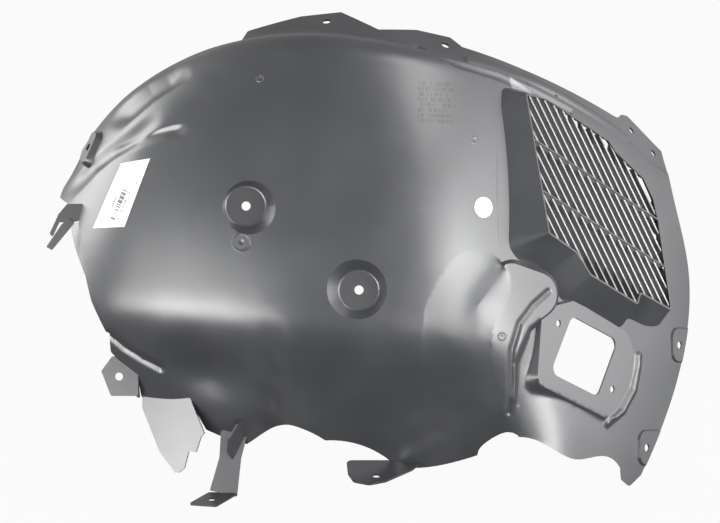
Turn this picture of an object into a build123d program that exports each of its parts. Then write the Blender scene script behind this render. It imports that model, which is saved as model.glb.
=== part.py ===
from build123d import *
import math
import os

# Wheel arch liner, front section, seen from its hidden side.
# Mould axes while it is made: X to the car's front, Y up the cheek, Z out of the cheek.
# All sizes in millimetres, all angles in degrees.

# Wall and stance
WALL = 2.6
RAKE = 15.0

# Cheek: a crown with softer fall to the front, a belt and a front wall
CROWN = 15.0
REAR_RADIUS = 500.0
FRONT_RADIUS = 1300.0
TOP_RADIUS = 950.0
LOW_RADIUS = 4750.0
CROWN_HEIGHT = -10.0
FRONT_WALL_AT = 180.0
FRONT_WALL_LEAN = 0.17
FRONT_WALL_SLOPE = 33.0
FRONT_WALL_BLEND = 32.0
BELT_HEIGHT = -98.0
BELT_LEAN = 0.07
BELT_SLOPE = 31.0
BELT_BLEND = 11.0
BELT_FADE = (190.0, 330.0)

# Soft reliefs of the cheek: centre, turn of the long axis, half sizes, height
RELIEFS = (
    ((-15.0, -232.0), 92.0, (95.0, 17.0), 10.0),
    ((-42.0, -222.0), 84.0, (80.0, 11.0), -11.0),
    ((138.0, -272.0), 84.0, (70.0, 14.0), 9.0),
    ((-120.0, -152.0), -20.0, (38.0, 26.0), -14.0),
)

# Fan of sections: each is drawn on a bearing about one centre below the part
FAN_CENTRE = (33.0, -350.0)
FAN_BEARINGS = (5.0, 152.0)
FAN_SECTIONS = 36
FAN_INNER = 112.0
SECTION_SHARES = ((0.0, 0), (0.5, 10), (0.72, 9), (1.0, 21))
CURVE_STEPS = 24
ROLL_SWEEP = 84.0
LIP_WIDTH = 85.0
LIP_ROUND = 6.0

# Rim by bearing: radius, width and depth of the roll, wall behind it, lean of the lip
RIM_RADIUS = (
    (8, 700), (38, 700), (46, 638), (50, 632), (54, 631), (62, 626), (70, 614), (78, 606), (84, 608),
    (92, 614), (100, 617), (108, 612), (114, 608), (121, 590), (127, 562), (132, 548), (142, 520),
    (152, 505),
)
ROLL_WIDTH = ((8, 16), (70, 16), (80, 24), (95, 28), (104, 45), (112, 80), (120, 120), (130, 150))
ROLL_DEPTH = ((8, 7), (70, 8), (80, 22), (95, 28), (104, 45), (112, 75), (120, 100), (130, 110))
WALL_DEPTH = ((8, 2), (72, 2), (84, 10), (92, 40), (100, 60), (110, 80), (142, 80))
LIP_LEAN = ((8, -0.9), (40, -1.0), (48, -1.7), (54, -1.6), (62, -1.4), (90, -1.35), (100, -1.2))
REAR_BEARINGS = (112.0, 152.0)
REAR_SECTIONS = 14
FRONT_BEARINGS = (3.0, 84.0)
BLOCK_SECTIONS = 22
BLOCK_STEPS = 24
BLOCK_RADIUS = 760.0

# Trimmed outline, clockwise from the rear end of the lip
LIP_TOP = ((-81, 264), (-74, 277), (-6, 295), (45, 300), (92, 273), (140, 275), (183, 267), (198, 254))
LIP_SHOULDER = (306, 221)
LIP_EAR = ((408, 180), (416, 177), (423, 183), (433, 182), (485, 136))
LIP_FRONT = ((499, 58), (518, -30), (513, -115), (466, -245))
FRONT_FOOT = ((437, -296), (419, -309), (407, -299), (406, -284))
LOWER_FRONT = (
    (372, -265), (342, -266), (319, -256), (283, -237), (259, -236), (233, -251), (197, -266), (139, -275),
)
LOWER_MIDDLE = ((57, -268), (32, -243), (-3, -222), (-19, -217), (-36, -221), (-72, -244))
LOWER_REAR = (
    (-98, -237), (-123, -226), (-141, -190), (-204, -187), (-207, -158), (-226, -144), (-240, -128),
)
REAR_INSET = ((-240, -105), (-243, -91), (-253, -67), (-260, -45), (-272, -17), (-276, 4), (-281, 33))
REAR_EDGE = (*REAR_INSET, (-284, 50), (-297, 55), (-318, 66))
REAR_CORNER = (-305, 133)
REAR_SHOULDER = (-210, 222)
EDGE_ROUND = 5.0
THROUGH = 500.0
BLOCK_AHEAD = 120.0
BLOCK_BEHIND = 160.0

# Strip of the rear edge, stepped back from the cheek
STRIP_EDGE = ((-297, 33), (-290, 10), (-283, -8), (-271, -34), (-263, -64), (-253, -86), (-245, -103))
STRIP_STEP = 5.0

# Two screw dishes of the cheek, either side of the origin, their floors on the mould plane
DISH_OFFSET = (67.8, -50.4)
DISH_FLOOR = 24.0
DISH_REACH = 30.0
DISH_ROUND = 4.0
BODY_HOLE = 5.5

# Air outlet: a tapered box with a louvred mouth
MOUTH_ORIGIN = (380.0, 60.0, -158.0)
MOUTH_NORMAL = (0.732, 0.231, 0.641)
MOUTH_ALONG = (0.677, -0.356, -0.644)
MOUTH_OUTLINE = (
    (-164, 84), (-106, -88), (-50, -92), (-18, -111), (84, -113), (90, -95), (161, -93),
    (128, 26), (116, 54), (92, 76), (28, 88), (12, 97), (-120, 97),
)
MOUTH_ROUND = 5.0
BOX_DEPTH = 60.0
BOX_TAPER = 33.0
LOUVRE_PITCH = 20.0
LOUVRE_COUNT = 26
LOUVRE_LENGTH = 420.0
LOUVRE_TURN = -42.0
LOUVRE_LEAN = 38.0
LOUVRE_DEPTH = 20.0
LOUVRE_THICKNESS = 1.8
CROSSBARS = (27.5, -35.0)
CROSSBAR_THICKNESS = 2.4

# Pressed forms: slope of their sides and depth of the tool that presses them
PRESS_SLOPE = 30.0
PRESS_DEPTH = 30.0

# Access opening with its two screw holes, on a raised platform
OPENING = ((334, -85), (400, -119), (370, -189), (302, -155))
OPENING_ROUND = 11.0
COVER_PAIR = ((315, -94), (391, -181))
COVER_HOLE = 4.4
PLATFORM = ((292, -76), (279, -168), (390, -222), (430, -150), (412, -108), (338, -66))
PLATFORM_RISE = 4.6
PLATFORM_ROUND = 15.0

# Pad beside the platform, where the cheek runs on before it falls to the front wall
PAD = ((246, -14), (200, -62), (190, -118), (206, -194), (250, -212), (256, -140), (272, -95), (306, -54))
PAD_SHIFT = 22.0
PAD_HEIGHT = -40.0
PAD_DEPTH = 60.0
PAD_REACH = 38.0
PAD_SLOPE = 20.0
PAD_ROUND = 20.0

# Lip holes in pairs, each pair drilled one way, square to the line through it
TOP_PAIR = ((27, 286), (176, 255))
EAR_PAIR = ((437, 161), (470, 132))
LUG_PAIR = ((498, -129), (444, -261))
LIP_HOLE = 5.2
DRILL_LENGTH = 30.0

# Raised lugs at the two front holes, open to the edge: corners from the hole
LUG = ((-15, -22), (-15, 22), (40, 22), (40, -22))
LUG_RISE = 3.0
LUG_ROUND = 13.0

# Raised lug on the roll of the upper rear corner: half sizes
ROLL_LUG_AT = (-269, 126)
ROLL_LUG = (20.0, 11.0)
ROLL_LUG_RISE = 6.0
ROLL_LUG_ROUND = 6.0
LUG_BACKING = 40.0

# Rear lower tab
REAR_TAB = ((-252, -152), (-238, -133), (-224, -139), (-207, -153), (-206, -183), (-240, -183))
REAR_TAB_ROOT = (-218, -146)
REAR_TAB_HOLE = (-230, -159)
TAB_WEB_AT = (-206, -153)
TAB_WEB = ((-2, 0), (30, 0), (34, 20))

# Rear hook beside the open end: a tab and a bar across it
HOOK_TAB = ((-276, 56), (-297, 56), (-308, 43), (-319, 19), (-316, 14), (-307, 33), (-296, 32), (-274, 36))
HOOK_BAR = ((-294, 38), (-288, 32), (-316, -2), (-323, 2), (-304, 30))
HOOK_ROOT = (-280, 46)
HOOK_BAR_RISE = 2.0

# Splash fin under the rear corner, leaning with the cheek
FIN_ROOT = (-173.0, -187.0)
FIN_LEAN = -20.0
FIN = (
    (-32, 2), (34, 2), (38, -8), (53, -41), (48, -47), (42, -65), (32, -64), (26, -85), (19, -91),
    (13, -91), (-8, -66), (-32, -12),
)

# Strap with a leaf-shaped rib and a level foot
STRAP = ((-104, -226), (-70, -226), (-79, -262), (-84, -309), (-118, -301), (-106, -260))
STRAP_ROOT = (-88.0, -228.0)
RIB_ROOT = ((-64, -206), (-92, -262))
RIB_LEAN = 32.0
RIB = ((0, -3), (4, 10), (18, 24), (38, 27), (56, 14), (63, -3))
FOOT_AT = (-101.0, -304.0)
FOOT = ((-18, 3), (17, -1), (-6, -40), (-40, -34))
FOOT_HOLE = (-13, -20)
TAB_HOLE = 5.0
TAB_ROUND = 3.0

# Lower ledge with a hole
LEDGE_ROOT = (88.0, -266.0)
LEDGE_PITCH = 70.0
LEDGE = ((-36, 3), (-34, -32), (-27, -54), (-8, -62), (12, -54), (46, -22), (60, 3))
LEDGE_ROUND = 8.0
LEDGE_HOLE = (1, -40)

# Paper label and round sticker
PAPER_GAP = 0.35
PAPER = 0.2
LABEL = ((-224, 104), (-186, 109), (-218, 26), (-261, 25))
STICKER_AT = (220, 50)
STICKER_HALF = (11.4, 12.6)


def stations(table, bearing):
    """Smooth curve through (bearing, value) stations."""
    if bearing <= table[0][0]:
        return table[0][1]
    if bearing >= table[-1][0]:
        return table[-1][1]
    i = 0
    while bearing > table[i + 1][0]:
        i += 1
    (x0, y0), (x1, y1) = table[i], table[i + 1]
    span = x1 - x0
    t = (bearing - x0) / span
    m0 = slope_at(table, i) * span
    m1 = slope_at(table, i + 1) * span
    start = (2 * t**3 - 3 * t**2 + 1) * y0 + (t**3 - 2 * t**2 + t) * m0
    return start + (3 * t**2 - 2 * t**3) * y1 + (t**3 - t**2) * m1


def slope_at(table, i):
    """Slope at a station that lets the curve overshoot nowhere."""
    if i == 0 or i == len(table) - 1:
        return 0.0
    before = (table[i][1] - table[i - 1][1]) / (table[i][0] - table[i - 1][0])
    after = (table[i + 1][1] - table[i][1]) / (table[i + 1][0] - table[i][0])
    if before * after <= 0:
        return 0.0
    return 2 * before * after / (before + after)


def ramp(x, blend):
    """Zero for low x, x for high x, with a soft bend of the given width."""
    if x > 30 * blend:
        return x
    return blend * math.log1p(math.exp(x / blend))


def fade(low, high, x):
    """Soft step from 0 to 1."""
    t = min(1.0, max(0.0, (x - low) / (high - low)))
    return t * t * (3 - 2 * t)


def hill(x, y, centre, turn, half):
    """Smooth hill of height 1 on a turned oval."""
    c = math.cos(math.radians(turn))
    s = math.sin(math.radians(turn))
    along = ((x - centre[0]) * c + (y - centre[1]) * s) / half[0]
    across = ((y - centre[1]) * c - (x - centre[0]) * s) / half[1]
    return math.exp(-(along**2) - across**2)


def cheek(x, y, shift=0.0):
    """Height of the cheek over the mould plane, with its front wall shifted on."""
    across = REAR_RADIUS if x < 0 else FRONT_RADIUS
    up = TOP_RADIUS if y > CROWN_HEIGHT else LOW_RADIUS
    z = CROWN - x**2 / (2 * across) - (y - CROWN_HEIGHT) ** 2 / (2 * up)
    front = ramp(x + FRONT_WALL_LEAN * y - FRONT_WALL_AT - shift, FRONT_WALL_BLEND)
    z -= math.tan(math.radians(FRONT_WALL_SLOPE)) * front
    below = ramp(BELT_HEIGHT - y - BELT_LEAN * x, BELT_BLEND)
    z -= math.tan(math.radians(BELT_SLOPE)) * below * (1 - fade(*BELT_FADE, x))
    for centre, turn, half, height in RELIEFS:
        z += height * hill(x, y, centre, turn, half)
    return z


def fan_point(bearing, radius):
    """Point of the mould plane on a bearing about the fan centre."""
    a = math.radians(bearing)
    return FAN_CENTRE[0] + radius * math.cos(a), FAN_CENTRE[1] + radius * math.sin(a)


def section_path(bearing):
    """Fine line of the visible face along one bearing: cheek, roll, wall, round and lip."""
    rim = stations(RIM_RADIUS, bearing)
    width = stations(ROLL_WIDTH, bearing)
    depth = stations(ROLL_DEPTH, bearing)
    wall = stations(WALL_DEPTH, bearing)
    lean = math.degrees(math.atan(stations(LIP_LEAN, bearing)))
    path = []
    for i in range(2 * CURVE_STEPS):
        r = FAN_INNER + (rim - width - FAN_INNER) * i / (2 * CURVE_STEPS)
        path.append((r, cheek(*fan_point(bearing, r))))
    for i in range(CURVE_STEPS + 1):
        a = math.radians(ROLL_SWEEP * i / CURVE_STEPS)
        r = rim - width * (1 - math.sin(a))
        path.append((r, cheek(*fan_point(bearing, r)) - depth * (1 - math.cos(a))))
    r, z = path[-1]
    slope = math.atan2(path[-2][1] - z, r - path[-2][0])
    r += wall * math.cos(slope)
    z -= wall * math.sin(slope)
    path.append((r, z))
    turn = math.radians(lean) + slope
    for i in range(1, CURVE_STEPS + 1):
        heading = slope - turn * (i - 0.5) / CURVE_STEPS
        step = LIP_ROUND * turn / CURVE_STEPS
        r += step * math.cos(heading)
        z -= step * math.sin(heading)
        path.append((r, z))
    path.append((r + LIP_WIDTH * math.cos(slope - turn), z - LIP_WIDTH * math.sin(slope - turn)))
    return path


def face_point(place):
    """Point of the whole visible face, lip included, over a place of the mould plane."""
    x, y = place
    radius = math.hypot(x - FAN_CENTRE[0], y - FAN_CENTRE[1])
    path = section_path(math.degrees(math.atan2(y - FAN_CENTRE[1], x - FAN_CENTRE[0])))
    i = 0
    while i < len(path) - 2 and path[i + 1][0] < radius:
        i += 1
    (r0, z0), (r1, z1) = path[i], path[i + 1]
    return Vector(x, y, z0 + (z1 - z0) * (radius - r0) / (r1 - r0))


def face_normal(place):
    """Direction square to the visible face over a place of the mould plane."""
    x, y = place
    across = face_point((x + 1, y)) - face_point((x - 1, y))
    up = face_point((x, y + 1)) - face_point((x, y - 1))
    return across.cross(up).normalized()


def shares():
    """Places of the section points, as parts of the section's length."""
    places = [0.0]
    for (low, _), (high, count) in zip(SECTION_SHARES, SECTION_SHARES[1:]):
        places += [low + (high - low) * i / count for i in range(1, count + 1)]
    return places


def section_profile(bearing):
    """Points of the visible face along one bearing, at fixed parts of its length."""
    path = section_path(bearing)
    lengths = [0.0]
    for (r0, z0), (r1, z1) in zip(path, path[1:]):
        lengths.append(lengths[-1] + math.hypot(r1 - r0, z1 - z0))
    points = []
    i = 0
    for share in shares():
        goal = share * lengths[-1]
        while i < len(path) - 2 and lengths[i + 1] < goal:
            i += 1
        t = (goal - lengths[i]) / (lengths[i + 1] - lengths[i])
        (r0, z0), (r1, z1) = path[i], path[i + 1]
        points.append((r0 + t * (r1 - r0), z0 + t * (z1 - z0)))
    return points


def shifted(profile, depth):
    """The profile moved square to itself, to the hidden side for positive depth."""
    moved = []
    last = len(profile) - 1
    for i, (r, z) in enumerate(profile):
        before = profile[max(i - 1, 0)]
        after = profile[min(i + 1, last)]
        dr = after[0] - before[0]
        dz = after[1] - before[1]
        length = math.hypot(dr, dz)
        moved.append((r + depth * dz / length, z - depth * dr / length))
    return moved


def band(bearing, near, far, knots):
    """Closed section wire between two faces, each a list of (radius, height)."""
    top = Edge.make_spline([(*fan_point(bearing, r), z) for r, z in near], parameters=knots)
    under = Edge.make_spline([(*fan_point(bearing, r), z) for r, z in far], parameters=knots)
    return Wire([top, Edge.make_line(top @ 1, under @ 1), under, Edge.make_line(under @ 0, top @ 0)])


def bearings(span, count):
    """Evenly spaced bearings of the fan."""
    first, last = span
    return [first + (last - first) * i / (count - 1) for i in range(count)]


def skin_sheet(near, far, span=FAN_BEARINGS, count=FAN_SECTIONS):
    """Sheet that follows the moulded face, between two depths behind it."""
    wires = []
    for bearing in bearings(span, count):
        profile = section_profile(bearing)
        wires.append(band(bearing, shifted(profile, near), shifted(profile, far), shares()))
    return Solid.make_loft(wires)


def cheek_block(low, high, span, shift=0.0):
    """Block over the cheek, between two heights over its visible face."""
    places = [i / BLOCK_STEPS for i in range(BLOCK_STEPS + 1)]
    wires = []
    for bearing in bearings(span, BLOCK_SECTIONS):
        near = []
        far = []
        for place in places:
            r = FAN_INNER + (BLOCK_RADIUS - FAN_INNER) * place
            z = cheek(*fan_point(bearing, r), shift)
            near.append((r, z + high))
            far.append((r, z + low))
        wires.append(band(bearing, near, far, places))
    return Solid.make_loft(wires)


def outline_prism():
    """Everything inside the trimmed outline."""
    lip_top = FilletPolyline(*LIP_TOP, radius=EDGE_ROUND)
    shoulder = ThreePointArc(LIP_TOP[-1], LIP_SHOULDER, LIP_EAR[0])
    ear = FilletPolyline(*LIP_EAR, radius=EDGE_ROUND)
    front = Spline(LIP_EAR[-1], *LIP_FRONT, FRONT_FOOT[0])
    foot = FilletPolyline(*FRONT_FOOT, radius=EDGE_ROUND)
    lower = Spline(FRONT_FOOT[-1], *LOWER_FRONT) + Spline(LOWER_FRONT[-1], *LOWER_MIDDLE)
    edge = FilletPolyline(LOWER_MIDDLE[-1], *LOWER_REAR, *REAR_EDGE, REAR_CORNER, radius=EDGE_ROUND)
    rear = ThreePointArc(REAR_CORNER, REAR_SHOULDER, LIP_TOP[0])
    face = make_face(lip_top + shoulder + ear + front + foot + lower + edge + rear)
    return extrude(face, amount=THROUGH, both=True)


def dish(grow):
    """Turned form of one dish, grown by a wall: a cone over a round floor."""
    base = DISH_FLOOR + grow * (math.sqrt(2) - 1)
    top = base + DISH_REACH + grow
    rise = FilletPolyline((0, -grow), (base, -grow), (top, DISH_REACH), radius=DISH_ROUND + grow)
    back = Polyline((top, DISH_REACH), (0, DISH_REACH), (0, -grow))
    return revolve(Plane.XZ * make_face(rise + back), axis=Axis.Z)


def both_dishes(form):
    """The same form at both body screws."""
    x, y = DISH_OFFSET
    return [Pos(x, y, 0) * form, Pos(-x, -y, 0) * form]


def mouth_frame():
    """Plane of the louvred mouth, X along its crossbars."""
    return Plane(origin=MOUTH_ORIGIN, x_dir=MOUTH_ALONG, z_dir=MOUTH_NORMAL)


def box_form(inset):
    """Tapered box from the mouth back through the cheek, smaller by a wall."""
    line = FilletPolyline(*MOUTH_OUTLINE, radius=MOUTH_ROUND, close=True)
    mouth = make_face(line)
    if inset > 0:
        mouth = offset(mouth, amount=-inset, kind=Kind.INTERSECTION)
    return mouth_frame() * extrude(mouth, amount=-BOX_DEPTH, taper=-BOX_TAPER)


def louvres():
    """Slanted blades and crossbars across the mouth."""
    blade = Box(LOUVRE_LENGTH, LOUVRE_THICKNESS, LOUVRE_DEPTH)
    bar = Box(LOUVRE_LENGTH, CROSSBAR_THICKNESS, LOUVRE_DEPTH)
    bars = []
    for i in range(LOUVRE_COUNT):
        shift = (i - (LOUVRE_COUNT - 1) / 2) * LOUVRE_PITCH
        lean = Pos(shift, 0, -LOUVRE_DEPTH / 2) * Rot(Z=LOUVRE_TURN) * Rot(X=LOUVRE_LEAN)
        bars.append(mouth_frame() * lean * blade)
    for y in CROSSBARS:
        bars.append(mouth_frame() * Pos(0, y, -LOUVRE_DEPTH / 2) * bar)
    return bars


def pair_frame(pair):
    """Frame midway between two holes: X through them, Z out of the face and square to that."""
    first = face_point(pair[0])
    second = face_point(pair[1])
    along = (second - first).normalized()
    out = face_normal(pair[0]) + face_normal(pair[1])
    out = out - along * out.dot(along)
    return Plane(origin=(first + second) * 0.5, x_dir=along, z_dir=out)


def pair_drills(pair, radius):
    """Both holes of a pair."""
    half = (face_point(pair[1]) - face_point(pair[0])).length / 2
    drill = Cylinder(radius, DRILL_LENGTH)
    return [pair_frame(pair) * Pos(side * half, 0, 0) * drill for side in (-1, 1)]


def seen_in(frame, places):
    """Places of the mould plane, seen on the face and drawn in a frame."""
    local = [frame.to_local_coords(face_point(place)) for place in places]
    return [(point.X, point.Y) for point in local]


def opening_prism():
    """Rounded access opening, cut along its screw holes."""
    frame = pair_frame(COVER_PAIR)
    line = FilletPolyline(*seen_in(frame, OPENING), radius=OPENING_ROUND, close=True)
    return frame * extrude(make_face(line), amount=2 * PRESS_DEPTH, both=True)


def pressed(frame, corners, rise, rounding, inset):
    """Raised flat with sloped sides; its hollow is smaller by a wall and a wall lower."""
    slope = math.radians(PRESS_SLOPE)
    face = make_face(FilletPolyline(*corners, radius=rounding, close=True))
    if inset > 0:
        shrink = inset * (1 / math.cos(slope) - math.tan(slope))
        face = offset(face, amount=-shrink, kind=Kind.INTERSECTION)
    return frame * Pos(0, 0, rise - inset) * extrude(face, amount=-PRESS_DEPTH, taper=-PRESS_SLOPE)


def platform(inset):
    """Raised flat round the access opening."""
    frame = pair_frame(COVER_PAIR)
    return pressed(frame, seen_in(frame, PLATFORM), PLATFORM_RISE, PLATFORM_ROUND, inset)


def lug(place, inset):
    """Raised lug at a front hole, long enough to run out past the edge."""
    out = pair_frame(LUG_PAIR).z_dir
    frame = Plane(origin=face_point(place), x_dir=(1, 0, 0), z_dir=out)
    return pressed(frame, LUG, LUG_RISE, LUG_ROUND, inset)


def roll_lug_frame():
    """Frame of the lug on the roll, X along the rim."""
    out = face_normal(ROLL_LUG_AT)
    return Plane(origin=face_point(ROLL_LUG_AT), x_dir=Vector(0, 0, 1).cross(out), z_dir=out)


def roll_lug(inset):
    """Raised lug on the roll of the upper rear corner."""
    x, y = ROLL_LUG
    corners = ((-x, -y), (x, -y), (x, y), (-x, y))
    return pressed(roll_lug_frame(), corners, ROLL_LUG_RISE, ROLL_LUG_ROUND, inset)


def pad(inset):
    """Pad beside the platform: the cheek with its front wall shifted on, inside sloped sides."""
    slope = math.radians(PAD_SLOPE)
    drawn = make_face(FilletPolyline(*PAD, radius=PAD_ROUND, close=True))
    base = offset(drawn, amount=PAD_DEPTH * math.tan(slope))
    sides = extrude(base, amount=PAD_DEPTH + PAD_REACH, taper=PAD_SLOPE)
    drop = PAD_HEIGHT - PAD_DEPTH - inset / math.sin(slope)
    return Pos(0, 0, drop) * sides & cheek_block(-PAD_DEPTH, -inset, FRONT_BEARINGS, PAD_SHIFT)


def rear_strip():
    """Strip stepped back along the rear edge, with the short wall up to the cheek."""
    half = WALL / 2
    inner = [(x + half, y) for x, y in REAR_INSET]
    outer = [(x - half, y) for x, y in reversed(REAR_INSET)]
    strip = extrude(make_face(Polyline(*inner, *STRIP_EDGE, close=True)), amount=THROUGH, both=True)
    wall = extrude(make_face(Polyline(*inner, *outer, close=True)), amount=THROUGH, both=True)
    low = skin_sheet(STRIP_STEP, STRIP_STEP + WALL, REAR_BEARINGS, REAR_SECTIONS)
    step = skin_sheet(half, STRIP_STEP + half, REAR_BEARINGS, REAR_SECTIONS)
    return [low & strip, step & wall]


def plate(points, frame, rounding):
    """Flat plate of wall thickness behind a frame, with rounded corners."""
    line = FilletPolyline(*points, radius=rounding, close=True)
    return frame * extrude(make_face(line), amount=-WALL)


def flat(root, rise=0.0):
    """Frame parallel to the mould plane, its plate in the wall at a root place."""
    return Plane(origin=(0, 0, face_point(root).Z - WALL / 2 + rise))


def rear_plates():
    """Tabs, hook, splash fin and strap of the rear and lower edges."""
    return [
        plate(REAR_TAB, flat(REAR_TAB_ROOT), TAB_ROUND),
        plate(TAB_WEB, web_frame(), TAB_ROUND / 2),
        plate(HOOK_TAB, flat(HOOK_ROOT), TAB_ROUND / 2),
        plate(HOOK_BAR, flat(HOOK_ROOT, HOOK_BAR_RISE), TAB_ROUND / 2),
        plate(FIN, fin_frame(), TAB_ROUND / 2),
        plate(STRAP, flat(STRAP_ROOT), TAB_ROUND / 2),
        plate(FOOT, foot_frame(), TAB_ROUND),
        plate(LEDGE, ledge_frame(), LEDGE_ROUND),
        plate(RIB, rib_frame(), TAB_ROUND / 2),
    ]


def web_frame():
    """Frame of the web that ties the rear tab back to the cheek: X down, Y back."""
    tab = flat(REAR_TAB_ROOT).origin.Z
    return Plane(origin=(*TAB_WEB_AT, tab), x_dir=(0, -1, 0), z_dir=(1, 0, 0))


def fin_frame():
    """Frame of the splash fin, turned with the cheek's fall to the rear."""
    return Plane(Location(face_point(FIN_ROOT), (0, FIN_LEAN, 0)))


def foot_frame():
    """Level frame of the foot once the part stands at its rake."""
    strap = flat(STRAP_ROOT).origin.Z
    return Plane(Location((*FOOT_AT, strap), (RAKE - 90, 0, 0)))


def ledge_frame():
    """Frame of the lower ledge."""
    return Plane(Location(face_point(LEDGE_ROOT) - Vector(0, 0, WALL / 2), (-LEDGE_PITCH, 0, 0)))


def rib_frame():
    """Frame of the strap's rib: X along its root, Y up its height."""
    strap = flat(STRAP_ROOT).origin.Z
    start, end = (Vector(x, y, strap) for x, y in RIB_ROOT)
    along = (end - start).normalized()
    side = Vector(0, 0, 1).cross(along)
    lean = math.radians(RIB_LEAN)
    return Plane(origin=start, x_dir=along, z_dir=side * -math.cos(lean) - Vector(0, 0, math.sin(lean)))


def tab_drills():
    """Holes of the rear tab, the foot, the ledge and the roll's lug, each square to its plate."""
    drill = Cylinder(TAB_HOLE, DRILL_LENGTH)
    return [
        flat(REAR_TAB_ROOT) * Pos(*REAR_TAB_HOLE, 0) * drill,
        foot_frame() * Pos(*FOOT_HOLE, 0) * drill,
        ledge_frame() * Pos(*LEDGE_HOLE, 0) * drill,
        roll_lug_frame() * drill,
    ]


def make_outlet(behind):
    """Air outlet that stands out of the cheek: box walls and louvres."""
    walls = box_form(0) - box_form(WALL)
    grille = (Part() + louvres()) & box_form(WALL / 2)
    return (walls + grille) - behind


def make_liner():
    """The whole moulding in its mould axes."""
    ahead = cheek_block(-WALL / 2, BLOCK_AHEAD, FAN_BEARINGS)
    behind = cheek_block(-BLOCK_BEHIND, -WALL / 2, FRONT_BEARINGS)
    rear_backing = skin_sheet(WALL / 2, LUG_BACKING, REAR_BEARINGS, REAR_SECTIONS)
    lugs = [lug(place, 0) - behind for place in LUG_PAIR]
    added = [form - ahead for form in both_dishes(dish(WALL))]
    added += [pad(0) - behind, platform(0) - behind, roll_lug(0) - rear_backing]
    added += rear_plates()
    added += rear_strip()
    hollows = both_dishes(dish(0))
    hollows += [pad(WALL), platform(WALL), roll_lug(WALL), box_form(WALL / 2)]
    hollows += [lug(place, WALL) for place in LUG_PAIR]
    cuts = [opening_prism()]
    cuts += pair_drills(COVER_PAIR, COVER_HOLE)
    for pair in (TOP_PAIR, EAR_PAIR, LUG_PAIR):
        cuts += pair_drills(pair, LIP_HOLE)
    cuts += both_dishes(Cylinder(BODY_HOLE, DRILL_LENGTH))
    cuts += tab_drills()
    body = ((skin_sheet(0, WALL) + lugs) & outline_prism()) + added - hollows
    return body + make_outlet(behind) - cuts


def make_paper(outline):
    """Thin paper that lies on the visible face inside an outline."""
    sheet = skin_sheet(-PAPER_GAP - PAPER, -PAPER_GAP)
    return sheet & extrude(outline, amount=THROUGH, both=True)


def write(name, form):
    """Turn a finished piece from its mould axes to the part's frame and write it."""
    export_step(Rot(X=90 - RAKE) * form, f"parts/{name}.step")


os.makedirs("parts", exist_ok=True)
write("liner", make_liner())
write("label", make_paper(make_face(Polyline(*LABEL, close=True))))
write("sticker", make_paper(Pos(*STICKER_AT) * Ellipse(*STICKER_HALF)))
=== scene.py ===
"""Wheel arch liner: the visual model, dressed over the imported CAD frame."""
import logging
import math
from dataclasses import dataclass, field
from enum import Enum
from functools import cached_property

import bmesh
import bpy
from mathutils import Matrix, Vector


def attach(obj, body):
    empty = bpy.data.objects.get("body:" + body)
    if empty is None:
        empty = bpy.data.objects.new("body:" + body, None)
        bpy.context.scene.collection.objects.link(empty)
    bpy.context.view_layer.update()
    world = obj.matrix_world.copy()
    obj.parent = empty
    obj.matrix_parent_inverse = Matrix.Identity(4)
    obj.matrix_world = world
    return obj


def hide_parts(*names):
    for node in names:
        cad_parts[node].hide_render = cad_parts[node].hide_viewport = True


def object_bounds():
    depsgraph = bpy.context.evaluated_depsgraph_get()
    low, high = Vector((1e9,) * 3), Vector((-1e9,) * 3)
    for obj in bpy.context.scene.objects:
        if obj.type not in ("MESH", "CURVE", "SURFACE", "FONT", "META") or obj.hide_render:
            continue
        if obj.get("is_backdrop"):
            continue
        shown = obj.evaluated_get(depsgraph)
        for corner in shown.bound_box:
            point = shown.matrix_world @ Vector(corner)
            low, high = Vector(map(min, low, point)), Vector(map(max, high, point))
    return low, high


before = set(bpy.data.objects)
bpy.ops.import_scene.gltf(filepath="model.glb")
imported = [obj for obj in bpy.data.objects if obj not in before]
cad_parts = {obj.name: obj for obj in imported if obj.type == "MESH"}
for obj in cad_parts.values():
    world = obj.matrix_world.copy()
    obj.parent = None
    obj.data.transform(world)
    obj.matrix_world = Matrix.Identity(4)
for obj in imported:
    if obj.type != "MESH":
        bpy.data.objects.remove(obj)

LOG = logging.getLogger("liner")
BODY = "root"
IMAGE = (720, 523)
MM = 0.001
Colour = tuple[float, float, float, float]


@dataclass(frozen=True)
class MouldAxes:
    """Axes in which the liner is moulded: u to the car's front, v up the cheek, w out of it.

    The part stands raked back, so these axes are turned from the world's about its X axis.
    """

    rake_deg: float = 15.0

    @cached_property
    def matrix(self) -> Matrix:
        """Rotation from mould axes to the world."""
        c = math.cos(math.radians(self.rake_deg))
        s = math.sin(math.radians(self.rake_deg))
        return Matrix(((1, 0, 0), (0, s, -c), (0, c, s)))

    def turn(self, u: float, v: float, w: float) -> Vector:
        """Turn a direction or a place from mould axes to the world, keeping its unit."""
        return self.matrix @ Vector((u, v, w))

    def place(self, u: float, v: float, w: float) -> Vector:
        """Give the world place, in metres, of mould millimetres."""
        return self.turn(u, v, w) * MM

    def back(self, direction: Vector) -> Vector:
        """Turn a world direction or place to mould axes, keeping its unit."""
        return self.matrix.transposed() @ direction

    def read(self, point: Vector) -> Vector:
        """Give the mould millimetres of a world place in metres."""
        return self.back(point) / MM


AXES = MouldAxes()


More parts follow.
